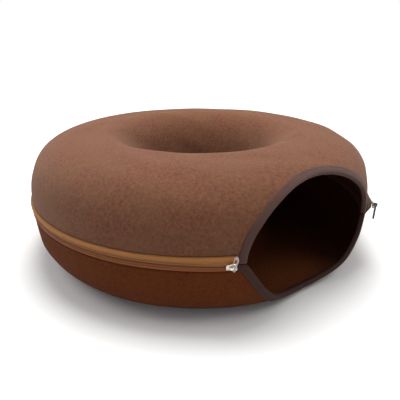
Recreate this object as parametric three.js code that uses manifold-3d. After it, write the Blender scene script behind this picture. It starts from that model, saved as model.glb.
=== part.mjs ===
// Felt cat tunnel bed: a hollow ring of thick moulded felt in two halves, which a zip joins round the waist.
// A cat enters through the oval opening at the front and rests in the ring or in the well in its middle.
// The part stands on z = 0. Its front faces -Y. Sizes are in millimetres and angles in degrees. An angle
// round the ring is counted from the front, and grows towards +X.
import * as THREE from "three";
import Module from "manifold-3d";

const wasm = await Module();
wasm.setup();

// The ring. Each fullness is the power of a quarter arc: 2 is an ellipse, and more is squarer.
const FELT = 4; // thickness of the felt
const OUTER_RADIUS = 298.5; // to the felt's outer face at the waist
const WAIST = 99.5; // height of the slit between the two zip tapes
const HEIGHT = 206;
const CREST_RADIUS = 179; // where the top is level
const TOP_FULLNESS = 2.9;
const WELL_FULLNESS = 2.25;
const SEAM_RADIUS = 108; // the narrowest place of the well, where the two halves are sewn together
const SEAM_HEIGHT = 76;
const SEAM_GAP = 0.3;
const BASE_OUTER_RADIUS = 205; // the flat base lies between these two radii
const BASE_INNER_RADIUS = 150;
const BASE_FULLNESS = 3.05;
const INNER_FULLNESS = 2.25;
const AXIS_Y = -10.27; // the opening takes the front wall away, so the axis lies before the box's centre

// The front opening, as seen from the front: half an ellipse above the waist and a dip below it.
const UPPER_HALF_WIDTH = 126.8;
const UPPER_RISE = 90.1;
const LOWER_HALF_WIDTH = 126.3;
const LOWER_DIP = 89.3;
const DIP_STEEPNESS = 2.5;
const DIP_ROUNDING = 0.022; // how softly the lower edge turns down at its corners
const TONGUE_UPPER = 0.8; // how far from the waist the felt ends under the bindings, beside the opening
const TONGUE_LOWER = 1.6;
const TONGUE_ANGLE = 27.25;

// The zip
const ZIP_ANGLE = 27.4; // the zip runs from here round the back to the same place on the other side
const REVEAL_UPPER = 11.5; // height of tape that shows between the waist and the felt's edge
const REVEAL_LOWER = 10;
const TAPE = 1.2; // thickness of a tape
const TAPE_BACK_RADIUS = 293.7; // the tape's outer face where it is sewn behind the felt
const TAPE_SEWN = 11; // height of the strip behind the felt
const RIDGE_RADIUS = 300.5; // the two tapes meet in a ridge
const UPPER_FULLEST = 301.6; // each tape rolls out to here on its way to the ridge
const LOWER_FULLEST = 300.1;
const FULLEST_SHARE = 0.35; // how far the roll follows the ridge out at the sliders
const TAPE_ROLL = [
  { out: 0.5, up: 0.93 }, // shares of the way out to its fullest, and of the height that shows
  { out: 0.9, up: 0.8 },
  { out: 1, up: 0.62 },
];
const GROOVE = { in: 0.9, up: 3.8, rib: 1.2 }; // a groove along the ridge, and the rib between it and the slit
const LEFT_BULGE = { angle: 29, out: 4, up: 0 }; // at each slider the ridge is pushed out and up
const RIGHT_BULGE = { angle: 31, out: 7.2, up: 5 };
const BULGE_SPREAD = 9; // in degrees
const TUCK = 4.6; // from a slider to the opening the ridge falls back within these degrees
const SLIT = 0.3;

// The binding: a folded strip round each cut edge
const BINDING = 1; // thickness of the strip
const BINDING_GAP = 0.4; // between the strip and the felt
const BINDING_WIDTH = 9.7; // from the cut edge to the strip's border

// The sliders
const SLIDER_GAP = 0.35; // from the ridge to the slider's plate
const PLATE = 2; // thickness of the plate
const BRIDGE = { middle: 1.8, halfSpan: 4.3, foot: 1.4, bar: 1.4, width: 2.2 };
const PULL = { thickness: 1.2, arm: 1 };
// A slider's bridge rises and its body rolls up. Its pull is turned, leans along the zip and tilts back, and
// is a plate with three half widths: at the bridge, at the slot's far end and at its tail.
const LEFT = {
  body: { rise: 2.7, roll: 0 },
  pose: { turn: -35, lean: -15, tilt: 3 },
  pull: { play: 0.8, half: 2.8, wide: 3.4, tail: 2, slotLength: 15.3, length: 19.4 }, // a loop that stands up
};
const RIGHT = {
  body: { rise: 2.7, roll: 12 },
  pose: { turn: -32, lean: 0, tilt: 0 },
  pull: { play: 0.4, half: 2.7, wide: 2.7, tail: 1.2, slotLength: 3.3, length: 28 }, // it hangs down
};

// How finely the shapes are cut into faces
const OPENING_STEPS = 36;
const RING_STEPS = 40;
const SHELL_ROWS = 15;
const EDGE_ROW = 4.9; // the first two rows from a cut edge are this far apart
const WALL_LENGTH = 130; // the outer wall and shoulder, where the rows are closer together
const WALL_DENSITY = 1.6;
const ARC_STEPS = 160;

const FELT_BROWN = new THREE.MeshStandardMaterial({ color: 0x7d5642, roughness: 1, metalness: 0 });
const FELT_DARK = new THREE.MeshStandardMaterial({ color: 0x5a3524, roughness: 1, metalness: 0 });
const TAPE_TAN = new THREE.MeshStandardMaterial({ color: 0x966b4c, roughness: 0.8, metalness: 0 });
const TAPE_BROWN = new THREE.MeshStandardMaterial({ color: 0x7a4c33, roughness: 0.8, metalness: 0 });
const BINDING_BROWN = new THREE.MeshStandardMaterial({ color: 0x4a3c37, roughness: 0.75, metalness: 0 });
const BINDING_SHADE = new THREE.MeshStandardMaterial({ color: 0x40322d, roughness: 0.75, metalness: 0 });
const SILVER = new THREE.MeshStandardMaterial({ color: 0xc9b8a8, roughness: 0.35, metalness: 1 });
const PULL_SILVER = new THREE.MeshStandardMaterial({ color: 0xb5a698, roughness: 0.4, metalness: 1 });
const DARK_METAL = new THREE.MeshStandardMaterial({ color: 0x6a5a4c, roughness: 0.4, metalness: 1 });
const PULL_METAL = new THREE.MeshStandardMaterial({ color: 0x75685c, roughness: 0.4, metalness: 1 });

const radians = THREE.MathUtils.degToRad;
const degrees = THREE.MathUtils.radToDeg;

// A quarter arc in the plane of radius and height, from the upright side to the level place.
function quarter(side, level, fullness) {
  const points = [];
  for (let i = 0; i <= ARC_STEPS; i++) {
    const turn = (Math.PI / 2) * (i / ARC_STEPS);
    const across = Math.abs(Math.cos(turn));
    const up = Math.sin(turn);
    const reach = (across ** fullness + up ** fullness) ** (-1 / fullness);
    const x = i < ARC_STEPS ? across * reach : 0;
    points.push([level[0] + (side[0] - level[0]) * x, side[1] + (level[1] - side[1]) * up * reach]);
  }
  return points;
}

// One half of the ring's section: its outer face, told by the length from the waist.
// facing is 1 where the line runs up from the waist and -1 where it runs down.
function halfSection(points, facing) {
  const apart = (p, q) => Math.hypot(p[0] - q[0], p[1] - q[1]);
  const line = points.filter((p, i) => i === 0 || apart(p, points[i - 1]) > 1e-6);
  const length = [0];
  const bend = [0];
  const heading = [];
  for (let i = 1; i < line.length; i++) {
    const way = Math.atan2(line[i][1] - line[i - 1][1], line[i][0] - line[i - 1][0]);
    const turns = i > 1 ? Math.round((heading[i - 2] - way) / (2 * Math.PI)) : 0;
    heading.push(way + 2 * Math.PI * turns);
  }
  for (let i = 1; i < line.length; i++) {
    const step = apart(line[i], line[i - 1]);
    const turn = i < heading.length ? Math.abs(Math.sin(heading[i] - heading[i - 1])) : 0;
    length.push(length[i - 1] + step);
    const density = length[i] < WALL_LENGTH ? WALL_DENSITY : 1;
    bend.push(bend[i - 1] + density * Math.sqrt(turn * step) + 0.0005 * step);
  }
  return { line, length, bend, heading, facing, end: length[length.length - 1] };
}

// Where a value falls in a growing list: the step that holds it and how far along that step it is.
function place(list, value) {
  let low = 0;
  let high = list.length - 1;
  while (high - low > 1) {
    const middle = (low + high) >> 1;
    if (list[middle] <= value) low = middle;
    else high = middle;
  }
  return [low, (value - list[low]) / (list[high] - list[low])];
}

function pick(list, [step, part]) {
  return list[step] + (list[step + 1] - list[step]) * part;
}

// The section at a length from the waist: its radius, its height and the way out of the felt.
function at(half, s) {
  const [step, part] = place(half.length, s);
  const [a, b] = [half.line[step], half.line[step + 1]];
  const before = half.heading[Math.max(step - 1, 0)];
  const here = half.heading[step];
  const after = half.heading[Math.min(step + 1, half.heading.length - 1)];
  const turn = part < 0.5 ? (before - here) * (0.5 - part) : (after - here) * (part - 0.5);
  const way = here + turn;
  return {
    r: a[0] + (b[0] - a[0]) * part,
    z: a[1] + (b[1] - a[1]) * part,
    outR: half.facing * Math.sin(way),
    outZ: -half.facing * Math.cos(way),
  };
}

function ringPoint(angle, r, z) {
  return new THREE.Vector3(r * Math.sin(radians(angle)), -r * Math.cos(radians(angle)), z);
}

function onFelt(half, angle, s, out) {
  const p = at(half, s);
  return ringPoint(angle, p.r + out * p.outR, p.z + out * p.outZ);
}

const upper = halfSection(
  [
    ...quarter([OUTER_RADIUS, WAIST], [CREST_RADIUS, HEIGHT], TOP_FULLNESS),
    ...quarter([SEAM_RADIUS, SEAM_HEIGHT + SEAM_GAP / 2], [CREST_RADIUS, HEIGHT], WELL_FULLNESS).reverse(),
  ],
  1,
);
const lower = halfSection(
  [
    ...quarter([OUTER_RADIUS, WAIST], [BASE_OUTER_RADIUS, 0], BASE_FULLNESS),
    ...quarter([SEAM_RADIUS, SEAM_HEIGHT - SEAM_GAP / 2], [BASE_INNER_RADIUS, 0], INNER_FULLNESS).reverse(),
  ],
  -1,
);

// Height of the opening's edge above the waist, at a distance from the middle.
function upperRise(x) {
  return UPPER_RISE * Math.sqrt(Math.max(0, 1 - (x / UPPER_HALF_WIDTH) ** 2));
}

// Depth of the opening's edge below the waist: level at the corners, steep, then flatter in the middle.
function lowerDrop(x) {
  const inward = 1 - Math.abs(x) / LOWER_HALF_WIDTH;
  const eased = DIP_ROUNDING * Math.log1p(Math.exp(inward / DIP_ROUNDING));
  return TONGUE_LOWER + LOWER_DIP * Math.tanh(DIP_STEEPNESS * eased);
}

// The length from the waist at which a half's outer face meets the opening's edge.
function cutLength(half, depth, angle) {
  let low = 0;
  let high = half.end / 2;
  for (let i = 0; i < 40; i++) {
    const s = (low + high) / 2;
    const p = at(half, s);
    if (Math.abs(p.z - WAIST) < depth(p.r * Math.sin(radians(angle)))) low = s;
    else high = s;
  }
  return low;
}

const CORNER_ANGLE = degrees(Math.asin(UPPER_HALF_WIDTH / OUTER_RADIUS));

function upperEdge(angle) {
  if (Math.abs(angle) > TONGUE_ANGLE + 0.01) return REVEAL_UPPER;
  return Math.max(TONGUE_UPPER, cutLength(upper, upperRise, angle));
}

function lowerEdge(angle) {
  if (Math.abs(angle) > TONGUE_ANGLE + 0.01) return REVEAL_LOWER;
  return cutLength(lower, lowerDrop, angle);
}

// Angles of the columns of faces: close together near the opening's corners.
function openingAngles() {
  const list = [];
  for (let i = 0; i <= OPENING_STEPS; i++) {
    list.push(CORNER_ANGLE * Math.sin(Math.PI * (i / OPENING_STEPS - 0.5)));
  }
  return list;
}

// Even steps along the zip, and the places of the two sliders.
function ringAngles() {
  const list = [RIGHT_BULGE.angle, 360 - LEFT_BULGE.angle];
  for (let i = 0; i <= RING_STEPS; i++) {
    list.push(ZIP_ANGLE + ((360 - 2 * ZIP_ANGLE) * i) / RING_STEPS);
  }
  return list.sort((a, b) => a - b);
}

const TONGUE_MIDDLE = (CORNER_ANGLE + TONGUE_ANGLE) / 2;
const cutAngles = [-TONGUE_ANGLE, -TONGUE_MIDDLE, ...openingAngles(), TONGUE_MIDDLE, TONGUE_ANGLE];
const allAngles = [...cutAngles, ...ringAngles()];

// Joins closed loops of points, all alike in number, into one closed surface with its faces outward.
function loft(loops, isRing) {
  const count = loops[0].length;
  const points = loops.flat();
  const faces = [];
  for (let i = 0; i < (isRing ? loops.length : loops.length - 1); i++) {
    const here = i * count;
    const next = ((i + 1) % loops.length) * count;
    for (let k = 0; k < count; k++) {
      const l = (k + 1) % count;
      faces.push([here + k, next + k, next + l], [here + k, next + l, here + l]);
    }
  }
  if (!isRing) {
    const last = (loops.length - 1) * count;
    for (const [a, b, c] of capFaces(loops[0])) faces.push([a, b, c]);
    for (const [a, b, c] of capFaces(loops[loops.length - 1])) faces.push([last + a, last + c, last + b]);
  }
  let volume = 0;
  for (const [a, b, c] of faces) {
    volume += points[a].dot(new THREE.Vector3().crossVectors(points[b], points[c]));
  }
  const geometry = new THREE.BufferGeometry().setFromPoints(points);
  geometry.setIndex(faces.flatMap(([a, b, c]) => (volume > 0 ? [a, b, c] : [a, c, b])));
  geometry.computeVertexNormals();
  return geometry;
}

// Triangles that fill a loop, turned so that they face back along the loft where it starts.
function capFaces(loop) {
  const middle = loop.reduce((sum, p) => sum.add(p), new THREE.Vector3()).divideScalar(loop.length);
  const normal = new THREE.Vector3();
  for (let k = 0; k < loop.length; k++) {
    const a = loop[k].clone().sub(middle);
    const b = loop[(k + 1) % loop.length].clone().sub(middle);
    normal.add(a.cross(b));
  }
  normal.normalize();
  const side = loop[0].clone().sub(middle);
  side.addScaledVector(normal, -side.dot(normal)).normalize();
  const up = new THREE.Vector3().crossVectors(normal, side);
  const flat = loop.map((p) => {
    const q = p.clone().sub(middle);
    return new THREE.Vector2(q.dot(side), q.dot(up));
  });
  return THREE.ShapeUtils.triangulateShape(flat, []);
}

// Moves the nearest rows to the borders of the base, so that the base is flat.
function alignedToBase(rows) {
  for (const radius of [BASE_OUTER_RADIUS, BASE_INNER_RADIUS]) {
    const border = lower.length[lower.line.findIndex(([r, z]) => r < radius + 0.01 && z < 0.01)];
    const gaps = rows.map((s) => Math.abs(s - border));
    rows[gaps.indexOf(Math.min(...gaps))] = border;
  }
  return rows;
}

// The rows of faces at one angle, as lengths from the waist: closer together where the felt bends.
function rowsFrom(half, start) {
  const rows = [start, start + EDGE_ROW];
  const bendStart = pick(half.bend, place(half.length, start + 2 * EDGE_ROW));
  const bendEnd = half.bend[half.bend.length - 1];
  for (let i = 0; i < SHELL_ROWS; i++) {
    const bend = bendStart + ((bendEnd - bendStart) * i) / SHELL_ROWS;
    rows.push(pick(half.length, place(half.bend, bend)));
  }
  rows.push(half.end);
  return half.facing < 0 ? alignedToBase(rows) : rows;
}

// One half of the ring: at each angle a loop up the felt's outer face and back down its inner face.
function shell(half, rowList) {
  const loops = allAngles.map((angle, i) => {
    const outer = rowList[i].map((s) => onFelt(half, angle, s, 0));
    const inner = rowList[i].map((s) => onFelt(half, angle, s, -FELT)).reverse();
    return [...outer, ...inner];
  });
  return loft(loops, true);
}

// A point over the felt's flat faces instead of its true curve.
function onFaces(half, rowList, angle, s, out) {
  const [column, part] = place(allAngles, angle);
  const ends = [column, column + 1].map((i) => {
    const rows = rowList[i];
    const row = s <= rows[0] ? 0 : place(rows, s)[0];
    const share = (s - rows[row]) / (rows[row + 1] - rows[row]);
    const low = onFelt(half, allAngles[i], rows[row], out);
    return low.lerp(onFelt(half, allAngles[i], rows[row + 1], out), share);
  });
  return ends[0].lerp(ends[1], part);
}

// The zip's ridge at an angle, as its radius and its height above the waist.
function ridgeAt(angle) {
  const bulge = angle < 180 ? RIGHT_BULGE : LEFT_BULGE;
  const away = Math.min(angle, 360 - angle) - bulge.angle;
  const share = Math.min(1, 1 + away / TUCK) * Math.exp(-((away / BULGE_SPREAD) ** 2));
  return { r: RIDGE_RADIUS + bulge.out * share, up: bulge.up * share };
}

// One zip tape: upright behind the felt, then rolled out and back to a groove, and out to the ridge. way is 1
// above the slit, -1 below.
function zipTape(reveal, fullest, way) {
  const loops = ringAngles().map((angle) => {
    const ridge = ridgeAt(angle);
    const reach = fullest + FULLEST_SHARE * (ridge.r - RIDGE_RADIUS) - TAPE_BACK_RADIUS;
    const lift = (up) => up + way * ridge.up * (1 - up / reveal);
    const rolled = TAPE_ROLL.map(({ out, up }) => [TAPE_BACK_RADIUS + out * reach, lift(up * reveal)]);
    rolled.push([ridge.r - GROOVE.in, lift(GROOVE.up)]);
    const section = [
      [TAPE_BACK_RADIUS, reveal + TAPE_SEWN],
      [TAPE_BACK_RADIUS, reveal - 0.4],
      ...rolled,
      [ridge.r, lift(GROOVE.rib)],
      [ridge.r, lift(SLIT / 2)],
      [ridge.r - TAPE, lift(SLIT / 2)],
      ...rolled.map(([r, up]) => [r - TAPE, up - 0.5]).reverse(),
      [TAPE_BACK_RADIUS - TAPE, reveal - 0.9],
      [TAPE_BACK_RADIUS - TAPE, reveal + TAPE_SEWN],
    ];
    return section.map(([r, up]) => ringPoint(angle, r, WAIST + way * up));
  });
  return loft(loops, false);
}

// The strip folded over a cut edge, as pairs: distance into the felt from its edge, and height above its
// outer face.
function bindingSection() {
  const over = BINDING_GAP + BINDING;
  const half = BINDING_WIDTH / 2;
  return [
    [BINDING_WIDTH, BINDING_GAP],
    [BINDING_WIDTH, over],
    [half, over],
    [0.2, over],
    [-over * 0.7, over * 0.7],
    [-over, 0],
    [-over, -FELT],
    [-over * 0.7, -FELT - over * 0.7],
    [0.2, -FELT - over],
    [half, -FELT - over],
    [BINDING_WIDTH, -FELT - over],
    [BINDING_WIDTH, -FELT - BINDING_GAP],
    [half, -FELT - BINDING_GAP],
    [-BINDING_GAP, -FELT - BINDING_GAP],
    [-BINDING_GAP, BINDING_GAP],
    [half, BINDING_GAP],
  ];
}

// The binding follows the edge point by point. Its cross direction lies in the felt's surface, at a right
// angle to the edge, and turns slowly at the corners so that the strip doesn't fold over itself.
function binding(half, rowList, path, firstCross) {
  const SPREAD = 3;
  const loops = path.map(([angle, s], i) => {
    const r = at(half, s).r;
    const back = path[Math.max(i - SPREAD, 0)];
    const ahead = path[Math.min(i + SPREAD, path.length - 1)];
    const along = new THREE.Vector2(radians(ahead[0] - back[0]) * r, ahead[1] - back[1]).normalize();
    const cross = new THREE.Vector2(-along.y, along.x);
    if (i === 0) cross.set(...firstCross);
    if (i === path.length - 1) cross.set(-firstCross[0], firstCross[1]);
    return bindingSection().map(([into, out]) =>
      onFaces(half, rowList, angle + degrees((into * cross.x) / r), Math.max(s + into * cross.y, 0.02), out),
    );
  });
  return loft(loops, false);
}

const upperRows = allAngles.map((angle) => rowsFrom(upper, upperEdge(angle)));
const lowerRows = allAngles.map((angle) => rowsFrom(lower, lowerEdge(angle)));
const upperPath = openingAngles().map((angle) => [angle, Math.max(0.3, cutLength(upper, upperRise, angle))]);
const lowerPath = cutAngles.map((angle) => [angle, lowerEdge(angle)]);

// An extruded geometry, whose faces share no corners, as a solid that can be joined, and back.
function solid(geometry) {
  const positions = geometry.getAttribute("position");
  const index = new Map();
  const vertices = [];
  const corners = [];
  for (let i = 0; i < positions.count; i++) {
    const p = [positions.getX(i), positions.getY(i), positions.getZ(i)];
    const key = p.map((v) => v.toFixed(4)).join();
    if (!index.has(key)) {
      index.set(key, vertices.length / 3);
      vertices.push(...p);
    }
    corners.push(index.get(key));
  }
  const mesh = { numProp: 3, vertProperties: new Float32Array(vertices), triVerts: new Uint32Array(corners) };
  return new wasm.Manifold(new wasm.Mesh(mesh));
}

function geometryOf(manifold) {
  const mesh = manifold.getMesh();
  const geometry = new THREE.BufferGeometry();
  geometry.setAttribute("position", new THREE.BufferAttribute(new Float32Array(mesh.vertProperties), 3));
  geometry.setIndex(Array.from(mesh.triVerts));
  geometry.computeVertexNormals();
  return geometry;
}

function extrude(shape, depth) {
  return new THREE.ExtrudeGeometry(shape, { depth, bevelEnabled: false, curveSegments: 6 });
}

// The slider: x runs along the zip with the wide end at +x, -y is outward and z is up. Its plate has a
// narrow neck and a wide mouth, and the bridge that holds the pull stands on it.
function sliderBody(rise) {
  const outline = [
    [-6.2, -2.5],
    [-5.7, -3],
    [-1.8, -3.2],
    [2.6, -4.2],
    [5.8, -4.5],
    [6.2, -4],
  ];
  const mirrored = outline.map(([x, z]) => [x, -z]).reverse();
  const plate = new THREE.Shape([...outline, ...mirrored].map(([x, z]) => new THREE.Vector2(x, z)));
  const plateSolid = solid(extrude(plate, PLATE).rotateX(Math.PI / 2));
  const { middle, halfSpan, foot, bar, width } = BRIDGE;
  const low = PLATE - 0.4;
  const top = PLATE + rise + bar;
  const arch = new THREE.Shape();
  arch.moveTo(-halfSpan, low);
  arch.lineTo(-halfSpan, top - bar);
  arch.lineTo(-halfSpan + foot, top);
  arch.lineTo(halfSpan - foot, top);
  arch.lineTo(halfSpan, top - bar);
  arch.lineTo(halfSpan, low);
  arch.lineTo(halfSpan - foot, low);
  arch.lineTo(halfSpan - foot, top - bar);
  arch.lineTo(-halfSpan + foot, top - bar);
  arch.lineTo(-halfSpan + foot, low);
  arch.closePath();
  const archSolid = solid(extrude(arch, width).translate(middle, 0, -width / 2).rotateX(Math.PI));
  return geometryOf(plateSolid.add(archSolid));
}

// A pull: a flat plate with a slot for the bridge's bar, which is at the origin. It hangs down from the bar,
// and x is through its thickness.
function pull({ play, half, wide, tail, slotLength, length }) {
  const { thickness, arm } = PULL;
  const top = BRIDGE.width / 2 + play + arm;
  const end = top - length;
  const slotTop = top - arm;
  const slotBottom = slotTop - slotLength;
  const neck = slotBottom - arm;
  const plate = new THREE.Shape();
  plate.moveTo(-half + 1, top);
  plate.lineTo(half - 1, top);
  plate.lineTo(half, top - 1);
  plate.lineTo(wide, neck + 0.8);
  plate.lineTo(tail, neck - 0.6);
  plate.lineTo(tail, end + 0.7);
  plate.lineTo(tail - 0.7, end);
  plate.lineTo(-tail + 0.7, end);
  plate.lineTo(-tail, end + 0.7);
  plate.lineTo(-tail, neck - 0.6);
  plate.lineTo(-wide, neck + 0.8);
  plate.lineTo(-half, top - 1);
  plate.closePath();
  const slot = new THREE.Path();
  slot.moveTo(-half + arm, slotTop);
  slot.lineTo(-wide + arm, slotBottom);
  slot.lineTo(wide - arm, slotBottom);
  slot.lineTo(half - arm, slotTop);
  slot.closePath();
  plate.holes.push(slot);
  const geometry = extrude(plate, thickness);
  return geometry.translate(0, 0, -thickness / 2).rotateX(Math.PI / 2).rotateZ(Math.PI / 2);
}

function named(name, geometry, material) {
  const mesh = new THREE.Mesh(geometry, material);
  mesh.name = name;
  return mesh;
}

// A slider and its pull at one end of the zip, on the left or the right.
function addSlider(parent, side, { body: { rise, roll }, pose, pull: shape }, bodyMaterial, pullMaterial) {
  const sign = side === "left" ? -1 : 1;
  const body = named(`slider_${side}_body`, sliderBody(rise), bodyMaterial);
  const tab = named(`slider_${side}_pull`, pull(shape), pullMaterial);
  body.position.y = -SLIDER_GAP;
  body.rotation.y = side === "left" ? 0 : Math.PI;
  const leaning = new THREE.Group();
  leaning.rotation.x = -radians(roll);
  leaning.add(body);
  const reach = PLATE + rise + BRIDGE.bar / 2 + SLIDER_GAP;
  tab.position.set(-sign * BRIDGE.middle, -reach * Math.cos(radians(roll)), reach * Math.sin(radians(roll)));
  const upturn = side === "left" ? 180 - pose.tilt : 0;
  tab.rotation.set(radians(upturn), radians(pose.lean), radians(pose.turn));
  const angle = side === "left" ? -LEFT_BULGE.angle : RIGHT_BULGE.angle;
  const ridge = ridgeAt((angle + 360) % 360);
  const seat = new THREE.Group();
  seat.position.set(0, -ridge.r, WAIST + ridge.up);
  seat.add(leaning, tab);
  const turned = new THREE.Group();
  turned.rotation.z = radians(angle);
  turned.add(seat);
  parent.add(turned);
}

const ring = new THREE.Group();
ring.position.y = AXIS_Y;
ring.add(named("top_shell", shell(upper, upperRows), FELT_BROWN));
ring.add(named("bottom_shell", shell(lower, lowerRows), FELT_DARK));
ring.add(named("zip_tape_upper", zipTape(REVEAL_UPPER, UPPER_FULLEST, 1), TAPE_TAN));
ring.add(named("zip_tape_lower", zipTape(REVEAL_LOWER, LOWER_FULLEST, -1), TAPE_BROWN));
ring.add(named("upper_binding", binding(upper, upperRows, upperPath, [-1, 0]), BINDING_BROWN));
ring.add(named("lower_binding", binding(lower, lowerRows, lowerPath, [0, 1]), BINDING_SHADE));
addSlider(ring, "left", LEFT, SILVER, PULL_SILVER);
addSlider(ring, "right", RIGHT, DARK_METAL, PULL_METAL);

const part = new THREE.Group();
part.add(ring);

export default part;
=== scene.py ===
# Felt cat tunnel bed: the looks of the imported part. Lengths are in millimetres up to the point where a mesh
# is made, and angles round the ring are in degrees from the front opening, growing towards +X.
import math
import random

import bpy
import numpy as np
from mathutils import Matrix, Vector


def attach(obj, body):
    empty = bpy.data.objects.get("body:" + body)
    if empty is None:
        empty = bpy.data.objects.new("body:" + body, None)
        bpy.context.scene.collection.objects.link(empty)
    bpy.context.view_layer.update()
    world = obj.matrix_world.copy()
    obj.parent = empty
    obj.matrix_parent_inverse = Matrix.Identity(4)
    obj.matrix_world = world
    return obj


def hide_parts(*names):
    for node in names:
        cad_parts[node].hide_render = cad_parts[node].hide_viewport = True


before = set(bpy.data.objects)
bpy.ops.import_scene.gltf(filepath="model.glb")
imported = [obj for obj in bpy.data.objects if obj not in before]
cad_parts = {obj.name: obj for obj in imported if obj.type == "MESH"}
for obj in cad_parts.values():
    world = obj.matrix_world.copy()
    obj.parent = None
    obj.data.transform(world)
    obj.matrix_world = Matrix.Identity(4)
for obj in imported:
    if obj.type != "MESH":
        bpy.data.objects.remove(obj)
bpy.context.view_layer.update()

MM = 0.001

# The ring, as in the part's source. Each fullness is the power of a quarter arc.
FELT = 4.0  # thickness of the felt
OUTER_RADIUS = 298.5  # to the felt's outer face at the waist
WAIST = 99.5  # height of the slit between the two zip tapes
HEIGHT = 206.0
CREST_RADIUS = 179.0  # where the top is level
TOP_FULLNESS = 2.9
WELL_FULLNESS = 2.25
SEAM_RADIUS = 108.0  # the narrowest place of the well, where the two halves are sewn together
SEAM_HEIGHT = 76.0
SEAM_GAP = 0.3
BASE_OUTER_RADIUS = 205.0  # the flat base lies between these two radii
BASE_INNER_RADIUS = 150.0
BASE_FULLNESS = 3.05
INNER_FULLNESS = 2.25
AXIS_Y = -10.27  # the opening takes the front wall away, so the axis lies before the box's centre
QUARTER_STEPS = 240
SHORTEST_STEP = 1e-6

# The felt's unevenness and its cut edges
WAVE = 1.1  # how far the felt strays from its true curve
WAVE_START = 12.0  # it lies true within this length of the waist and of the seam
WAVE_EASE = 40.0  # and strays fully this much further on
WAVE_COUNTS = ((3, 0.011, 0.4), (5, 0.017, 2.1), (8, 0.009, 4.0), (11, 0.021, 5.2))  # round, per mm, phase
BASE_EASE = (6.0, 30.0)  # it lies true below this height, and strays fully this much higher
EDGE_ROUNDING = 1.2  # how far a cut edge falls back on either face
ROUNDED_LENGTH = 2.6  # and over what length
EDGE_ROWS = (0.0, 0.25, 0.7, 1.4, 2.6, 4.5, 7.5)  # rows of points at a cut edge
SHELL_ROWS = 60

# The front opening
UPPER_HALF_WIDTH = 126.8
UPPER_RISE = 90.1
LOWER_HALF_WIDTH = 126.3
LOWER_DIP = 89.3
DIP_STEEPNESS = 2.5
DIP_ROUNDING = 0.022  # how softly the lower edge turns down at its corners
TONGUE_UPPER = 0.8  # how far from the waist the felt ends under the bindings, beside the opening
TONGUE_LOWER = 1.6
TONGUE_ANGLE = 27.25
PAST_TONGUE = 0.01  # this many degrees further on, the felt ends at the zip instead
TONGUE_STEPS = (0.4, 1.0, 1.6)  # columns of points on a tongue, in degrees past the opening's corner
CORNER_ANGLE = math.degrees(math.asin(UPPER_HALF_WIDTH / OUTER_RADIUS))
OPENING_STEPS = 112
RING_STEPS = 261
HALVINGS = 40  # to find where the felt meets the opening's edge

# The zip
ZIP_ANGLE = 27.4  # it runs from here round the back to the same place on the other side
REVEAL_UPPER = 11.5  # height of tape that shows between the waist and the felt's edge
REVEAL_LOWER = 10.0
TAPE = 1.2  # thickness of a tape
TAPE_BACK_RADIUS = 293.7  # the tape's outer face where it is sewn behind the felt
TAPE_SEWN = 11.0  # height of the strip behind the felt
TAPE_BEHIND = ((0.0, TAPE_SEWN), (0.0, 4.0), (0.2, 0.4))  # its points, outward and above the felt's edge
TAPE_STEPS = 321
RIDGE_RADIUS = 300.5  # the two tapes meet in a ridge
LEFT_BULGE = {"angle": 29.0, "out": 4.0, "up": 0.0}  # at each slider the ridge is pushed out and up
RIGHT_BULGE = {"angle": 31.0, "out": 7.2, "up": 5.0}
BULGE_SPREAD = 9.0  # in degrees
TUCK = 4.6  # from a slider to the opening the ridge falls back within these degrees
ROLL_START = 0.3  # where the roll comes out under the felt, as a share of the way out to the ridge
ROLL_SHARES = (0.0, 0.05, 0.12, 0.22, 0.36, 0.55, 0.8, 1.0)  # its points down to its fullest place
RETURN_SHARES = (0.35, 0.65, 0.88, 1.0)  # and from there down to the groove
ROLL_TOP = 0.35  # it starts this far under the felt
ROLL_DROP = 4.2  # and is fullest this far under it
UPPER_FULLEST = 301.6
LOWER_FULLEST = 300.1
FULLEST_SHARE = 0.35  # how far it follows the ridge out at the sliders
RIB = (  # the folded edge beside the slit: points outward from the ridge and up from the slit
    (-0.9, 3.7), (-0.35, 3.2), (-0.05, 2.6), (0.0, 2.0),
    (-0.25, 1.3), (-0.8, 0.8), (-1.4, 0.4), (-1.5, -0.05),
)
GROOVE_LIP = (0.2, 0.4)  # the roll ends this far outward of and above the rib's first point
RIB_BACK = (-0.05, 1.1)  # heights of the rib's flat back
INNER_SHARES = ((0.7, 0.62), (0.5, 0.86))  # the inner face, as shares of the way out and of the reveal
INNER_DROP = 0.5  # it lies this much lower
INNER_TOP = 0.9  # and reaches the sewn strip this far under the felt

# The binding
BINDING = 1.0  # thickness of the strip
BINDING_GAP = 0.4  # between the strip and the felt
BINDING_WIDTH = 9.7  # from the cut edge to the strip's border
BINDING_OVER = BINDING_GAP + BINDING
BORDER_ROUNDING = ((0.1, 0.55), (-0.4, BINDING))  # past the border, above the gap
BINDING_CROWN = ((8.0, -0.15), (5.5, 0.35), (3.0, 0.4), (1.0, 0.1))  # into the felt, above a plain strip
BINDING_BACK = ((1.0, 0.0), (4.0, -0.1), (7.0, 0.0), (BINDING_WIDTH, 0.2))  # and inside the tunnel
BINDING_INNER = 4.5  # a place half way along its inner face
FOLD_TURN = 75  # the fold over the cut edge, in degrees to either side
FOLD_STEPS = 9
FOLD_FULLNESS = 0.6  # the power of its cosine: the lower, the fuller
BINDING_STEPS = 400
PATH_STEP = 2.0
PATH_REACH = 12.0  # a cut edge's direction is taken over this length on either side
NEAR_WAIST = 0.02  # nothing of a strip comes nearer the waist
PATH_START = 0.3  # and the upper strip's line keeps this far from it
CORNER_GAP = 0.1  # in degrees, between the lower strip's line under the opening and beside it
CORNER_POINTS = 12
PUCKER = 0.14
PUCKER_LENGTHS = (3.1, 5.3, 11.0)
PUCKER_ABOVE = 0.6  # the strip puckers only this far above the gap
PUCKER_INTO = 0.5  # and this far into the felt
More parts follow.
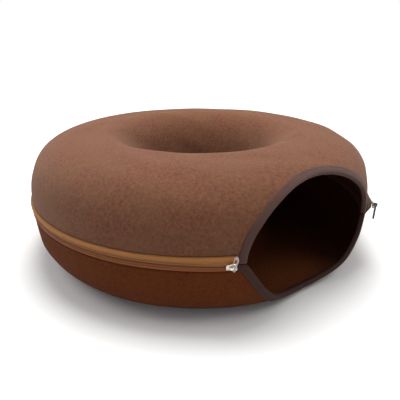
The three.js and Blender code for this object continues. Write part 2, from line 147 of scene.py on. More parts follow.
LAST_PHASE = 6.28  # each pucker's phase is drawn from 0 to here

# The sewing. A thread goes from hole to hole in a low arch.
THREAD_SIDES = 6
THREAD_SHARES = (0.0, 0.12, 0.5, 0.88, 1.0)
THREAD_HEIGHTS = (-0.9, -0.1, 0.25, -0.1, -0.9)
THREAD_WIDTHS = (0.55, 0.95, 1.0, 0.95, 0.55)
BINDING_SEAM = {"in": 8.2, "pitch": 3.4, "gap": 0.7, "margin": 2.0, "above": 0.05, "thread": 0.5}
FELT_SEAM = {"in": 4.0, "pitch": 4.2, "share": 0.78, "margin": 0.6, "thread": 0.55}
TAPE_SEAM = {"pitch": 2.6, "share": 0.75, "margin": 0.8, "above": 0.2, "thread": 0.5}
WELL_SEAM = {"in": 3.0, "pitch": 6.0, "lean": 0.5, "above": 0.15, "thread": 0.8}

# The sliders
SLIDER_GAP = 0.35  # from the ridge to the slider's plate
PLATE = 2.0  # thickness of the plate
PLATE_HALF = ((-6.2, -2.5), (-5.7, -3.0), (-1.8, -3.2), (2.6, -4.2), (6.2, -4.5))  # narrow end first
PLATE_CORNER = 0.9
PLATE_BEVEL = 0.45
BRIDGE_MIDDLE = 1.8
BRIDGE_SPAN = 4.3  # half its length
BRIDGE_BAR = 1.4
BRIDGE_WIDTH = 2.2
BRIDGE_SUNK = 0.5  # its feet go this far into the plate
BRIDGE_CORNER = 1.2
BRIDGE_BEVEL = 0.4
RIB_HALF_LENGTH = 5.4  # a low raised line along either side of the plate
RIB_HALF_WIDTH = 0.6
RIB_DEPTH = 0.6
RIB_CORNER = 0.5
RIB_BEVEL = 0.25
RIB_OUT = 0.1  # its middle lies this far outside the plate's face
RIB_OFFSET = 3.1  # from the plate's middle line
RIB_LEAN = 9
RIB_SQUEEZE = 0.6  # it is made narrower by this factor
PULL = 1.2  # thickness of a pull
PULL_ARM = 1.0
PULL_SHOULDER = (0.8, -0.6)  # it narrows to its tail between these heights from its neck
PULL_CORNER = 1.1
PULL_BEVEL = 0.35
SLOT_CORNER = 0.6
CORNER_SHARE = 0.45  # a rounded corner takes at most this share of a side
CORNER_STEPS = 4
# A slider's bridge rises and its body rolls up. Its pull is turned, leans along the zip and tilts back. It is
# a plate with three half widths: at the bridge, at the slot's far end and at its tail.
LEFT = {
    "side": -1, "angle": -29.0, "rise": 2.7, "roll": 0, "turn": -35, "lean": -15, "tilt": 3,
    "play": 0.8, "half": 2.8, "wide": 3.4, "tail": 2.0, "slot": 15.3, "length": 19.4,
}
RIGHT = {
    "side": 1, "angle": 31.0, "rise": 2.7, "roll": 12, "turn": -32, "lean": 0, "tilt": 0,
    "play": 0.4, "half": 2.7, "wide": 2.7, "tail": 1.2, "slot": 3.3, "length": 28.0,
}

# The materials' patterns, in waves per metre, and their relief, in metres
CLOUD_SCALE = 22.0
HEATHER_SCALE = 230.0
FIBRES = {"scale": 760.0, "stretch": (1.0, 1.0, 3.2), "turn": (0.6, 0.3, 0.2)}
CROSSING_FIBRES = {"scale": 700.0, "stretch": (3.0, 1.0, 1.0), "turn": (0.2, 0.7, 0.9)}
FELT_RELIEF = 0.0008
WEAR_SCALE = 60.0
WEAVE_RELIEF = 0.00025
STRAND_SCALE = 1800.0
STRAND_RELIEF = 0.0002
TARNISH_SCALE = 260.0
SCRATCH_SCALE = 900.0
SCRATCH_STRETCH = (1.0, 1.0, 9.0)
SCRATCH_RELIEF = 0.00005
GRAIN_SCALE = 3.0

# The width of a weave's threads, in metres along and across the tape
TAPE_WEAVE = (0.0011, 0.0016)
BINDING_WEAVE = (0.0009, 0.0022)

# Where painted shade darkens a zip tape, in metres: along it, where the shade over its right end gives way,
# and across it, where the felt's edge shades it as it comes out from under the felt, and where it nears the
# slit
END_SHADE_FADE = (0.17, 0.212)
CREASE_SHADOW_FADE = (0.0125, 0.016)
SLIT_SHADE_FADE = (0.0195, 0.026)

# The camera, which looks at a point on the ring's axis. Its places are in metres.
CAMERA_AZIMUTH = -36.4
CAMERA_ELEVATION = 22.47
CAMERA_DISTANCE = 0.78
AIM_HEIGHT = 0.0633
AIM_RIGHT = 0.00089
FOCAL_PIXELS = 397.54
IMAGE_PIXELS = 400
SENSOR = 36.0  # in millimetres
CLIP_START = 0.01

# The studio
FLOOR_HALF = 6000.0
FLOOR_BELOW = 0.2
FLOOR_GLOW = (0.5, 2.0, 0.8)  # it glows from this many metres out, fully from this many, and how strongly
LIGHT_TARGET = (0.0, 0.0, 0.1)
SIDE_LIGHT = (1.0, 0.98, 0.96)
TOP_LIGHT = (1.0, 0.99, 0.98)
HORIZON = (0.08, 0.45, 1.0, 0.5)  # the sky dims between these two slopes, from one strength to the other


# Small helpers for node trees

def new_material(name, roughness):
    material = bpy.data.materials.new(name)
    material.use_nodes = True
    shader = material.node_tree.nodes["Principled BSDF"]
    shader.inputs["Roughness"].default_value = roughness
    return material, material.node_tree, shader


def add(tree, kind, values=None, **settings):
    node = tree.nodes.new(kind)
    for name, value in settings.items():
        setattr(node, name, value)
    for name, value in (values or {}).items():
        if hasattr(value, "is_output"):
            tree.links.new(value, node.inputs[name])
        else:
            node.inputs[name].default_value = value
    return node


def object_place(tree):
    return add(tree, "ShaderNodeTexCoord").outputs["Object"]


def noise(tree, where, scale, detail, roughness, distortion=0.0):
    values = {"Vector": where, "Scale": scale, "Detail": detail, "Roughness": roughness}
    values["Distortion"] = distortion
    return add(tree, "ShaderNodeTexNoise", values).outputs["Fac"]


def spread(tree, value, low, high, to_low=0.0, to_high=1.0):
    values = {"Value": value, "From Min": low, "From Max": high, "To Min": to_low, "To Max": to_high}
    return add(tree, "ShaderNodeMapRange", values).outputs["Result"]


def maths(tree, operation, first, second=0.0):
    return add(tree, "ShaderNodeMath", {0: first, 1: second}, operation=operation).outputs[0]


def mix(tree, factor, first, second):
    return add(tree, "ShaderNodeMix", {0: factor, 6: first, 7: second}, data_type="RGBA").outputs[2]


def stretched(tree, where, scale, turn=(0.0, 0.0, 0.0)):
    values = {"Vector": where, "Scale": scale, "Rotation": turn}
    return add(tree, "ShaderNodeMapping", values).outputs["Vector"]


def bump(tree, shader, height, distance):
    node = add(tree, "ShaderNodeBump", {"Height": height, "Distance": distance, "Strength": 1.0})
    tree.links.new(node.outputs["Normal"], shader.inputs["Normal"])


def rgb(red, green, blue):
    return (red, green, blue, 1.0)


# Materials

def fibre_noise(tree, where, fibres):
    lying = stretched(tree, where, fibres["stretch"], fibres["turn"])
    return noise(tree, lying, fibres["scale"], 3.0, 0.7, 0.6)


def felt_material(name, deep, body, fleck, dun, sheen):
    """Dark and light wool felted together, with pale fibres, and slow clouds of dun wool."""
    material, tree, shader = new_material(name, 1.0)
    where = object_place(tree)
    cloud = noise(tree, where, CLOUD_SCALE, 3.0, 0.55)
    heather = noise(tree, where, HEATHER_SCALE, 4.0, 0.6)
    crossed = maths(tree, "ADD", fibre_noise(tree, where, FIBRES), fibre_noise(tree, where, CROSSING_FIBRES))
    tangle = maths(tree, "MULTIPLY", crossed, 0.5)
    shade = mix(tree, spread(tree, heather, 0.3, 0.7), deep, body)
    shade = mix(tree, spread(tree, cloud, 0.35, 0.75, 0.0, 0.6), shade, dun)
    shade = mix(tree, spread(tree, tangle, 0.46, 0.7, 0.0, 0.6), shade, fleck)
    tree.links.new(shade, shader.inputs["Base Color"])
    relief = maths(tree, "ADD", maths(tree, "MULTIPLY", tangle, 0.7), maths(tree, "MULTIPLY", heather, 0.4))
    bump(tree, shader, relief, FELT_RELIEF)
    shader.inputs["Sheen Weight"].default_value = sheen
    shader.inputs["Sheen Roughness"].default_value = 0.55
    shader.inputs["Sheen Tint"].default_value = rgb(0.95, 0.78, 0.66)
    shader.inputs["Specular IOR Level"].default_value = 0.1
    return material


def painted_tape_shade(tree, along, across, colour, shade_strength):
    """A zip tape's colour with painted shade: at its right end, along its slit and under the felt's edge."""
    end = spread(tree, along, *END_SHADE_FADE, 1.0, 0.0)
    slit = spread(tree, across, *SLIT_SHADE_FADE, 0.0, shade_strength)
    crease_shadow = spread(tree, across, *CREASE_SHADOW_FADE, 2 * shade_strength, 0.0)
    slit_and_crease_shade = maths(tree, "MAXIMUM", slit, crease_shadow)
    # the colour of the painted shade
    return mix(tree, maths(tree, "MAXIMUM", end, slit_and_crease_shade), colour, rgb(0.045, 0.028, 0.013))


def woven_material(name, warp, weft, weave, sheen, shade_strength=None):
    """Threads of a tape. The first UV direction runs along it and the second across, both in metres. A zip
    tape is given painted shade along its slit and under the felt, of a strength which may be 0."""
    material, tree, shader = new_material(name, 0.75)
    flow = add(tree, "ShaderNodeUVMap", uv_map="flow").outputs["UV"]
    parts = add(tree, "ShaderNodeSeparateXYZ", {"Vector": flow})
    along = maths(tree, "MULTIPLY", parts.outputs["X"], 2 * math.pi / weave[0])
    across = maths(tree, "MULTIPLY", parts.outputs["Y"], 2 * math.pi / weave[1])
    twill = maths(tree, "SINE", maths(tree, "ADD", along, maths(tree, "MULTIPLY", across, 0.5)))
    cord = maths(tree, "MULTIPLY", maths(tree, "SINE", across), 0.8)
    thread = spread(tree, maths(tree, "ADD", twill, cord), -1.6, 1.6)
    wear = noise(tree, object_place(tree), WEAR_SCALE, 4.0, 0.6)
    colour = mix(tree, thread, weft, warp)
    colour = mix(tree, spread(tree, wear, 0.3, 0.7, 0.0, 0.35), colour, weft)
    if shade_strength is not None:
        colour = painted_tape_shade(tree, parts.outputs["X"], parts.outputs["Y"], colour, shade_strength)
    tree.links.new(colour, shader.inputs["Base Color"])
    bump(tree, shader, thread, WEAVE_RELIEF)
    shader.inputs["Sheen Weight"].default_value = sheen
    shader.inputs["Sheen Roughness"].default_value = 0.4
    shader.inputs["Specular IOR Level"].default_value = 0.2
    return material


def thread_material(name, red, green, blue):
    """A twisted thread, with painted shade in the hollows between its strands."""
    material, tree, shader = new_material(name, 0.6)
    strand = noise(tree, object_place(tree), STRAND_SCALE, 2.0, 0.6)
    hollow_shade = rgb(0.6 * red, 0.6 * green, 0.6 * blue)
    tree.links.new(mix(tree, strand, hollow_shade, rgb(red, green, blue)), shader.inputs["Base Color"])
    bump(tree, shader, strand, STRAND_RELIEF)
    shader.inputs["Specular IOR Level"].default_value = 0.2
    shader.inputs["Sheen Weight"].default_value = 0.02
    return material


def metal_material(name, colour, tarnish):
    material, tree, shader = new_material(name, 0.3)
    where = object_place(tree)
    cloud = noise(tree, where, TARNISH_SCALE, 3.0, 0.6)
    scratch = noise(tree, stretched(tree, where, SCRATCH_STRETCH), SCRATCH_SCALE, 2.0, 0.7)
    tree.links.new(mix(tree, spread(tree, cloud, 0.35, 0.7), colour, tarnish), shader.inputs["Base Color"])
    tree.links.new(spread(tree, cloud, 0.3, 0.7, 0.24, 0.45), shader.inputs["Roughness"])
    bump(tree, shader, scratch, SCRATCH_RELIEF)
    shader.inputs["Metallic"].default_value = 1.0
    return material


def floor_material():
    """A pale floor, which glows softly far from the part, as a lit backdrop does."""
    material, tree, shader = new_material("floor_white", 0.9)
    where = object_place(tree)
    grain = noise(tree, where, GRAIN_SCALE, 2.0, 0.5)
    tree.links.new(mix(tree, grain, rgb(0.6, 0.6, 0.6), rgb(0.63, 0.63, 0.63)), shader.inputs["Base Color"])
    distance = add(tree, "ShaderNodeVectorMath", {0: where}, operation="LENGTH").outputs["Value"]
    near, far, glow = FLOOR_GLOW
    tree.links.new(spread(tree, distance, near, far, 0.0, glow), shader.inputs["Emission Strength"])
    shader.inputs["Emission Color"].default_value = rgb(1.0, 1.0, 1.0)
    return material


# The ring's section, as a line in radius and height

def quarter(side, level, fullness):
    turn = np.linspace(0.0, math.pi / 2, QUARTER_STEPS + 1)
    across = np.abs(np.cos(turn))
    up = np.sin(turn)
    across[-1] = 0.0
    reach = (across ** fullness + up ** fullness) ** (-1.0 / fullness)
    radius = level[0] + (side[0] - level[0]) * across * reach
    height = side[1] + (level[1] - side[1]) * up * reach
    return np.stack([radius, height], axis=1)


class Half:
    """Outer face of one half of the ring, told by the length from the waist."""

    def __init__(self, first, second, facing, seed):
        line = np.concatenate([first, second[::-1]])
        step = np.hypot(*np.diff(line, axis=0).T)
        keep = np.concatenate([[True], step > SHORTEST_STEP])
        self.line = line[keep]
        delta = np.diff(self.line, axis=0)
        step = np.hypot(delta[:, 0], delta[:, 1])
        self.length = np.concatenate([[0.0], np.cumsum(step)])
        self.end = self.length[-1]
        self.middle = (self.length[1:] + self.length[:-1]) / 2
        self.heading = np.unwrap(np.arctan2(delta[:, 1], delta[:, 0]))
        self.facing = facing
        self.seed = seed

    def section(self, s):
        """Radius and height at a length from the waist, and the way out of the felt there."""
        radius = np.interp(s, self.length, self.line[:, 0])
        height = np.interp(s, self.length, self.line[:, 1])
        way = np.interp(s, self.middle, self.heading)
        return radius, height, self.facing * np.sin(way), -self.facing * np.cos(way)

    def wave(self, angle, s):
        """Slow rise and fall of the felt, which dies out at its sewn edges and on its base."""
        turn = np.radians(angle)
        total = 0.0
        for count, along, phase in WAVE_COUNTS:
            total = total + np.sin(count * turn + along * s * 2 * math.pi + phase + self.seed)
        _, height, _, _ = self.section(s)
        near_waist = np.clip((s - WAVE_START) / WAVE_EASE, 0.0, 1.0)
        near_seam = np.clip((self.end - s - WAVE_START) / WAVE_EASE, 0.0, 1.0)
        off_floor = np.clip((height - BASE_EASE[0]) / BASE_EASE[1], 0.0, 1.0)
        return WAVE / len(WAVE_COUNTS) * total * near_waist * near_seam * off_floor

    def point(self, angle, s, out):
        """Points beside the outer face, in millimetres, in the part's frame."""
        angle, s, out = np.broadcast_arrays(*(np.asarray(value, float) for value in (angle, s, out)))
        radius, height, out_r, out_z = self.section(s)
        lift = out + self.wave(angle, s)
        return ring_point(angle, radius + lift * out_r, height + lift * out_z)


def ring_point(angle, r, z):
    angle, r, z = np.broadcast_arrays(angle, r, z)
    turn = np.radians(angle)
    return np.stack([r * np.sin(turn), AXIS_Y - r * np.cos(turn), z], axis=-1)


upper = Half(
    quarter((OUTER_RADIUS, WAIST), (CREST_RADIUS, HEIGHT), TOP_FULLNESS),
    quarter((SEAM_RADIUS, SEAM_HEIGHT + SEAM_GAP / 2), (CREST_RADIUS, HEIGHT), WELL_FULLNESS),
    facing=1, seed=0.0,
)
lower = Half(
    quarter((OUTER_RADIUS, WAIST), (BASE_OUTER_RADIUS, 0.0), BASE_FULLNESS),
    quarter((SEAM_RADIUS, SEAM_HEIGHT - SEAM_GAP / 2), (BASE_INNER_RADIUS, 0.0), INNER_FULLNESS),
    facing=-1, seed=1.7,
)


# The opening's edge

def upper_rise(x):
    return UPPER_RISE * np.sqrt(np.maximum(0.0, 1 - (x / UPPER_HALF_WIDTH) ** 2))


def lower_drop(x):
    inward = 1 - np.abs(x) / LOWER_HALF_WIDTH
    eased = DIP_ROUNDING * np.log1p(np.exp(inward / DIP_ROUNDING))
    return TONGUE_LOWER + LOWER_DIP * np.tanh(DIP_STEEPNESS * eased)


def cut_length(half, depth, angle):
    """Length from the waist at which a half's outer face meets the opening's edge, at each angle."""
    low = np.zeros_like(angle)
    high = np.full_like(angle, half.end / 2)
    for _ in range(HALVINGS):
        s = (low + high) / 2
        radius, height, _, _ = half.section(s)
        inside = np.abs(height - WAIST) < depth(radius * np.sin(np.radians(angle)))
        low = np.where(inside, s, low)
        high = np.where(inside, high, s)
    return low


def upper_edge(angle):
    cut = np.maximum(TONGUE_UPPER, cut_length(upper, upper_rise, angle))
    return np.where(np.abs(angle) > TONGUE_ANGLE + PAST_TONGUE, REVEAL_UPPER, cut)


def lower_edge(angle):
    cut = cut_length(lower, lower_drop, angle)
    return np.where(np.abs(angle) > TONGUE_ANGLE + PAST_TONGUE, REVEAL_LOWER, cut)


def opening_angles(steps):
    return CORNER_ANGLE * np.sin(np.linspace(-math.pi / 2, math.pi / 2, steps + 1))


def all_angles():
    tongue = np.array([CORNER_ANGLE + step for step in TONGUE_STEPS] + [TONGUE_ANGLE])
    ring = np.linspace(ZIP_ANGLE, 360 - ZIP_ANGLE, RING_STEPS)
    return np.concatenate([-tongue[::-1], opening_angles(OPENING_STEPS), tongue, ring])


# Meshes

def mesh_object(name, points, faces, material, smooth=True):
    mesh = bpy.data.meshes.new(name)
    mesh.from_pydata([tuple(p) for p in np.asarray(points) * MM], [], faces)
    mesh.validate()
    mesh.update()
    if smooth:
        mesh.shade_smooth()
    mesh.materials.append(material)
    obj = bpy.data.objects.new(name, mesh)
    bpy.context.scene.collection.objects.link(obj)
    return obj


def outward(obj):
    """Turns the faces of a closed mesh outward."""
    bpy.context.view_layer.objects.active = obj
    bpy.ops.object.mode_set(mode="EDIT")
    bpy.ops.mesh.select_all(action="SELECT")
    bpy.ops.mesh.normals_make_consistent(inside=False)
    bpy.ops.object.mode_set(mode="OBJECT")
    return obj


def loft(name, grid, material, closed_path, flow=None):
    """A closed mesh from loops of points. flow gives each loop point its place along and across a tape."""
    loops, count = grid.shape[:2]
    faces = []
    last = loops if closed_path else loops - 1
    for i in range(last):
        here = i * count
        after = ((i + 1) % loops) * count
        for k in range(count):
            beside = (k + 1) % count
            faces.append((here + k, after + k, after + beside, here + beside))
    if not closed_path:
        faces.append(tuple(range(count)))
        faces.append(tuple((loops - 1) * count + k for k in reversed(range(count))))
    obj = mesh_object(name, grid.reshape(-1, 3), faces, material)
    if flow is not None:
        layer = obj.data.uv_layers.new(name="flow")
        values = np.asarray(flow).reshape(-1, 2) * MM
        for loop in obj.data.loops:
            layer.data[loop.index].uv = values[loop.vertex_index]
    return outward(obj)


def felt_shell(name, half, edge, material):
    """One half of the ring, with rounded cut edges."""
    angle = all_angles()
    start = edge(angle)[:, None]
    fine = np.array(EDGE_ROWS)[None, :]
    share = np.linspace(0.0, 1.0, SHELL_ROWS)[None, 1:]
    first = start + fine
    rest = first[:, -1:] + (half.end - first[:, -1:]) * share
    rows = np.concatenate([first, rest], axis=1)
    columns = angle[:, None]
    rounding = EDGE_ROUNDING * np.maximum(0.0, 1 - fine / ROUNDED_LENGTH) ** 2
    easing = np.concatenate([rounding, np.zeros((1, rest.shape[1]))], axis=1)
    outer = half.point(columns, rows, -easing)
    inner = half.point(columns, rows[:, ::-1], -FELT + easing[:, ::-1])
    return loft(name, np.concatenate([outer, inner], axis=1), material, True)


def ridge_at(angle):
    """The zip's ridge, as its radius and its height above the waist."""
    right = angle < 180
    middle, out, up = (np.where(right, RIGHT_BULGE[key], LEFT_BULGE[key]) for key in ("angle", "out", "up"))
    away = np.minimum(angle, 360 - angle) - middle
    share = np.minimum(1.0, 1 + away / TUCK) * np.exp(-((away / BULGE_SPREAD) ** 2))
    return RIDGE_RADIUS + out * share, up * share


def tape_section(reveal, fullest, ridge, lift):
    """A zip tape's outer face from behind the felt to the slit, then back along its inner face, as radius and
    height from the slit. It rolls out from under the felt and back to a groove of stitching, and ends in a
    folded rib."""
    back = TAPE_BACK_RADIUS
    reach = ridge - back
    start = back + ROLL_START * reach
    full = fullest + FULLEST_SHARE * (ridge - RIDGE_RADIUS)
    top = reveal - ROLL_TOP
    middle = reveal - ROLL_DROP
    groove_radius = ridge + RIB[0][0] + GROOVE_LIP[0]
    groove_height = RIB[0][1] + GROOVE_LIP[1]
    outer = [(back + out, reveal + up) for out, up in TAPE_BEHIND]
    for share in ROLL_SHARES:
        bulge = math.sqrt(1 - (1 - share) ** 2)
        outer.append((start + (full - start) * bulge, top - share * (top - middle)))
    for share in RETURN_SHARES:
        bulge = 1 - math.sqrt(1 - share ** 2)
        outer.append((full - (full - groove_radius) * bulge, middle - share * (middle - groove_height)))
    outer += [(ridge + out, up) for out, up in RIB]
    inner = [(ridge - 2 * TAPE, up) for up in RIB_BACK]
    inner += [(back + out * reach - TAPE, up * reveal - INNER_DROP) for out, up in INNER_SHARES]
    inner += [(back - TAPE, reveal - INNER_TOP), (back - TAPE, reveal + TAPE_SEWN)]
    section = np.array(outer + inner)
    section[:, 1] += lift * np.clip(1 - section[:, 1] / reveal, 0.0, 1.0)
    return section


def zip_tape(name, reveal, fullest, way, material):
    """A tape round the ring. Its way is 1 for the one above the slit and -1 for the one below."""
    angle = np.linspace(ZIP_ANGLE, 360 - ZIP_ANGLE, TAPE_STEPS)
    grid = []
    flow = []
    for place, ridge, up in zip(angle, *ridge_at(angle)):
        section = tape_section(reveal, fullest, ridge, way * up)
        steps = np.hypot(*np.diff(section, axis=0, prepend=section[:1]).T)
        along = np.full(len(section), math.radians(place) * OUTER_RADIUS)
        grid.append(ring_point(place, section[:, 0], WAIST + way * section[:, 1]))
        flow.append(np.stack([along, np.cumsum(steps)], axis=-1))
    return loft(name, np.array(grid), material, False, np.array(flow))


class EdgePath:
    """The line of a cut edge, in even steps, with its cross direction along the felt."""

    def __init__(self, half, angle, s, first_cross):
        self.half = half
        points = half.point(angle, s, 0.0)
        run = np.concatenate([[0.0], np.cumsum(np.linalg.norm(np.diff(points, axis=0), axis=1))])
        count = int(run[-1] / PATH_STEP)
        self.run = np.linspace(0.0, run[-1], count + 1)
        self.angle = np.interp(self.run, run, angle)
        self.s = np.interp(self.run, run, s)
        self.radius = half.section(self.s)[0]
        reach = int(PATH_REACH / PATH_STEP)
        place = np.arange(count + 1)
        back = np.maximum(place - reach, 0)
        ahead = np.minimum(place + reach, count)
        east = np.radians(self.angle[ahead] - self.angle[back]) * self.radius
        down = self.s[ahead] - self.s[back]
        size = np.hypot(east, down)
        self.cross = np.stack([-down / size, east / size], axis=1)
        self.cross[0] = first_cross
        self.cross[-1] = (-first_cross[0], first_cross[1])

    def place(self, into, out):
        """Points at a distance into the felt from its edge, and a height above its outer face."""
        into = np.asarray(into)[None, :]
        angle = self.angle[:, None] + np.degrees(into * self.cross[:, :1] / self.radius[:, None])
        s = np.maximum(self.s[:, None] + into * self.cross[:, 1:], NEAR_WAIST)
        return self.half.point(angle, s, np.asarray(out))

    def at(self, run, into, out):
        """The same for single places along the path."""
        angle = np.interp(run, self.run, self.angle)
        s = np.interp(run, self.run, self.s)
        east = np.interp(run, self.run, self.cross[:, 0])
        down = np.interp(run, self.run, self.cross[:, 1])
        radius = np.interp(run, self.run, self.radius)
        aside = angle + np.degrees(into * east / radius)
        return self.half.point(aside, np.maximum(s + into * down, NEAR_WAIST), out)


def binding_section():
    """The folded strip, round its outside and back: distance into the felt and height above its face."""
    over = BINDING_OVER
    outer = [(BINDING_WIDTH, BINDING_GAP)]
    outer += [(BINDING_WIDTH + past, BINDING_GAP + above) for past, above in BORDER_ROUNDING]
    outer += [(into, over + above) for into, above in BINDING_CROWN]
    centre = -FELT / 2
    reach = FELT / 2 + over
    for turn in np.radians(np.linspace(FOLD_TURN, -FOLD_TURN, FOLD_STEPS)):
        outer.append((-over * math.cos(turn) ** FOLD_FULLNESS, centre + reach * math.sin(turn)))
    outer += [(into, -FELT - over + above) for into, above in BINDING_BACK]
    inner = [(into, -FELT - BINDING_GAP) for into in (BINDING_WIDTH, BINDING_INNER, 0.0)]
    inner += [(-BINDING_GAP, -FELT), (-BINDING_GAP, 0.0), (0.0, BINDING_GAP), (BINDING_INNER, BINDING_GAP)]
    return np.array(outer + inner)


def binding(name, path, material, seed):
    """The strip puckers a little between its stitches."""
    section = binding_section()
    into, above = section.T
    grid = path.place(into, above)
    normal = path.place(into, above + 1.0) - grid
    draw = random.Random(seed)
    phases = [draw.uniform(0, LAST_PHASE) for _ in PUCKER_LENGTHS]
    waves = [np.sin(path.run / size + phase) for size, phase in zip(PUCKER_LENGTHS, phases)]
    pucker = sum(waves) / len(waves)
    strength = np.where((above > BINDING_GAP + PUCKER_ABOVE) & (into > PUCKER_INTO), PUCKER, 0.0)
    grid = grid + normal * pucker[:, None, None] * strength[None, :, None]
    across = np.cumsum(np.hypot(*np.diff(section, axis=0, prepend=section[:1]).T))
    flow = np.stack(np.broadcast_arrays(path.run[:, None], across[None, :]), axis=-1)
    return loft(name, grid, material, False, flow)


# Stitches

def stitches(name, starts, ends, lifts, thickness, material):
    """A row of short threads, each a little bowed tube from one hole to the next."""
    sides = THREAD_SIDES
    rings = len(THREAD_SHARES)
    points = []
    faces = []
    for start, end, lift in zip(starts, ends, lifts):
        along = (end - start) / np.linalg.norm(end - start)
        side = np.cross(along, lift)
        side /= np.linalg.norm(side)
        base = len(points)
        for share, height, width in zip(THREAD_SHARES, THREAD_HEIGHTS, THREAD_WIDTHS):
            centre = start + (end - start) * share + lift * height * thickness
            for k in range(sides):
                turn = 2 * math.pi * k / sides
                outward_way = side * math.cos(turn) + lift * math.sin(turn)
                points.append(centre + outward_way * width * thickness / 2)
        for i in range(rings - 1):
            here = base + i * sides
            after = here + sides
            for k in range(sides):
                beside = (k + 1) % sides
                faces.append((here + k, here + beside, after + beside, after + k))
        faces.append(tuple(base + k for k in reversed(range(sides))))
        faces.append(tuple(base + (rings - 1) * sides + k for k in range(sides)))
    return mesh_object(name, np.array(points), faces, material)


def binding_stitches(name, path, material):
    pitch = BINDING_SEAM["pitch"]
    margin = BINDING_SEAM["margin"]
    into = BINDING_SEAM["in"]
    height = BINDING_OVER + BINDING_SEAM["above"]
    runs = margin + np.arange(int((path.run[-1] - 2 * margin) / pitch)) * pitch
    middles = runs + pitch / 2
    starts = path.at(runs, into, height)
    ends = path.at(runs + pitch - BINDING_SEAM["gap"], into, height)
    above = path.at(middles, into, height + 1.0) - path.at(middles, into, height)
    return stitches(name, starts, ends, above, BINDING_SEAM["thread"], material)


def round_the_zip(radius, seam):
    """The angles of a row of stitches above or below the zip, and the angle from one to the next."""
    step = math.degrees(seam["pitch"] / radius)
    margin = seam["margin"]
    return np.arange(ZIP_ANGLE + margin, 360 - ZIP_ANGLE - margin - step, step), step


def felt_stitches(name, half, reveal, material):
    """The row that holds a tape behind the felt, along the felt's edge."""
    s = reveal + FELT_SEAM["in"]
    angle, step = round_the_zip(half.section(np.array([s]))[0][0], FELT_SEAM)
    middle = angle + step / 2
    starts = half.point(angle, s, 0.0)
    ends = half.point(angle + step * FELT_SEAM["share"], s, 0.0)
    above = half.point(middle, s, 1.0) - half.point(middle, s, 0.0)
    return stitches(name, starts, ends, above, FELT_SEAM["thread"], material)


def tape_stitches(name, reveal, way, material):
    """The thread that holds the coil behind the tape, in its groove."""
    angle, step = round_the_zip(RIDGE_RADIUS, TAPE_SEAM)
    middle = angle + step / 2
    low = TAPE_SEAM["above"]

    def groove(place, out):
        ridge, up = ridge_at(place)
        height = WAIST + way * RIB[0][1] + up * (1 - RIB[0][1] / reveal)
        return ring_point(place, ridge + RIB[0][0] + out, height)

    starts = groove(angle, low)
    ends = groove(angle + step * TAPE_SEAM["share"], low)
    above = groove(middle, low + 1.0) - groove(middle, low)
    above /= np.linalg.norm(above, axis=1)[:, None]
    return stitches(name, starts, ends, above, TAPE_SEAM["thread"], material)


def seam_stitches(name, material):
    """Upright threads over the inner seam, where the two halves meet in the well."""
    step = math.degrees(WELL_SEAM["pitch"] / SEAM_RADIUS)
    angle = np.arange(0.0, 360.0 - step / 2, step)
    low = WELL_SEAM["above"]
    starts = upper.point(angle, upper.end - WELL_SEAM["in"], low)
    ends = lower.point(angle + step * WELL_SEAM["lean"], lower.end - WELL_SEAM["in"], low)
    above = upper.point(angle, upper.end - WELL_SEAM["in"], low + 1.0) - starts
    return stitches(name, starts, ends, above, WELL_SEAM["thread"], material)


# Metal pieces

def plate_mesh(name, outline, depth, bevel, material, hole=None):
    """A flat plate with rounded borders, with its outline in x and y and half its depth on either side."""
    curve = bpy.data.curves.new(name, "CURVE")
    curve.dimensions = "2D"
    curve.fill_mode = "BOTH"
    curve.extrude = (depth / 2 - bevel) * MM
    curve.bevel_depth = bevel * MM
    curve.bevel_resolution = 2
    for loop in [outline] + ([hole] if hole else []):
        spline = curve.splines.new("POLY")
        spline.points.add(len(loop) - 1)
        for point, (x, y) in zip(spline.points, loop):
            point.co = (x * MM, y * MM, 0.0, 1.0)
        spline.use_cyclic_u = True
    obj = bpy.data.objects.new(name, curve)
    bpy.context.scene.collection.objects.link(obj)
    bpy.context.view_layer.update()
    mesh = bpy.data.meshes.new_from_object(obj)
    bpy.data.objects.remove(obj)
    mesh.materials.clear()
    mesh.materials.append(material)
    made = bpy.data.objects.new(name, mesh)
    bpy.context.scene.collection.objects.link(made)
    return made


def rounded(corners, radius):
    """An outline with its corners rounded."""
    points = []
    count = len(corners)
    for i in range(count):
        here = Vector(corners[i])
        before = Vector(corners[i - 1]) - here
        after = Vector(corners[(i + 1) % count]) - here
        cut = min(radius, before.length * CORNER_SHARE, after.length * CORNER_SHARE)
        first = here + before.normalized() * cut
        last = here + after.normalized() * cut
        for k in range(CORNER_STEPS + 1):
            share = k / CORNER_STEPS
            points.append(tuple(first.lerp(here, share).lerp(here.lerp(last, share), share)))
    return points


def moved_points(obj, convert):
    """Moves each corner of a mesh by a function from millimetres to millimetres."""
    for vertex in obj.data.vertices:
        vertex.co = Vector(convert(vertex.co / MM)) * MM
    obj.data.update()
    return obj


def join(name, pieces):
    for piece in bpy.context.selected_objects:
        piece.select_set(False)
    for piece in pieces:
        piece.select_set(True)
    bpy.context.view_layer.objects.active = pieces[0]
    bpy.ops.object.join()
    pieces[0].name = name
    pieces[0].data.name = name
    pieces[0].select_set(False)
    return pieces[0]


def slider_place(size):
    """Turns a slider's own axes (x along the zip, -y outward, z up) into the part's frame."""
    turn = math.radians(size["angle"])
    roll = math.radians(size["roll"])
    seat, lift = (float(value) for value in ridge_at(np.array(size["angle"] % 360)))

    def leaning(point):
        x, y, z = point
        if size["side"] > 0:
            x, z = -x, -z
        y -= SLIDER_GAP
        return x, y * math.cos(roll) + z * math.sin(roll), -y * math.sin(roll) + z * math.cos(roll)

    def placed(point):
        x, y, z = point
        y -= seat
        return (
            x * math.cos(turn) - y * math.sin(turn),
            AXIS_Y + x * math.sin(turn) + y * math.cos(turn),
            WAIST + lift + z,
        )

    return leaning, placed


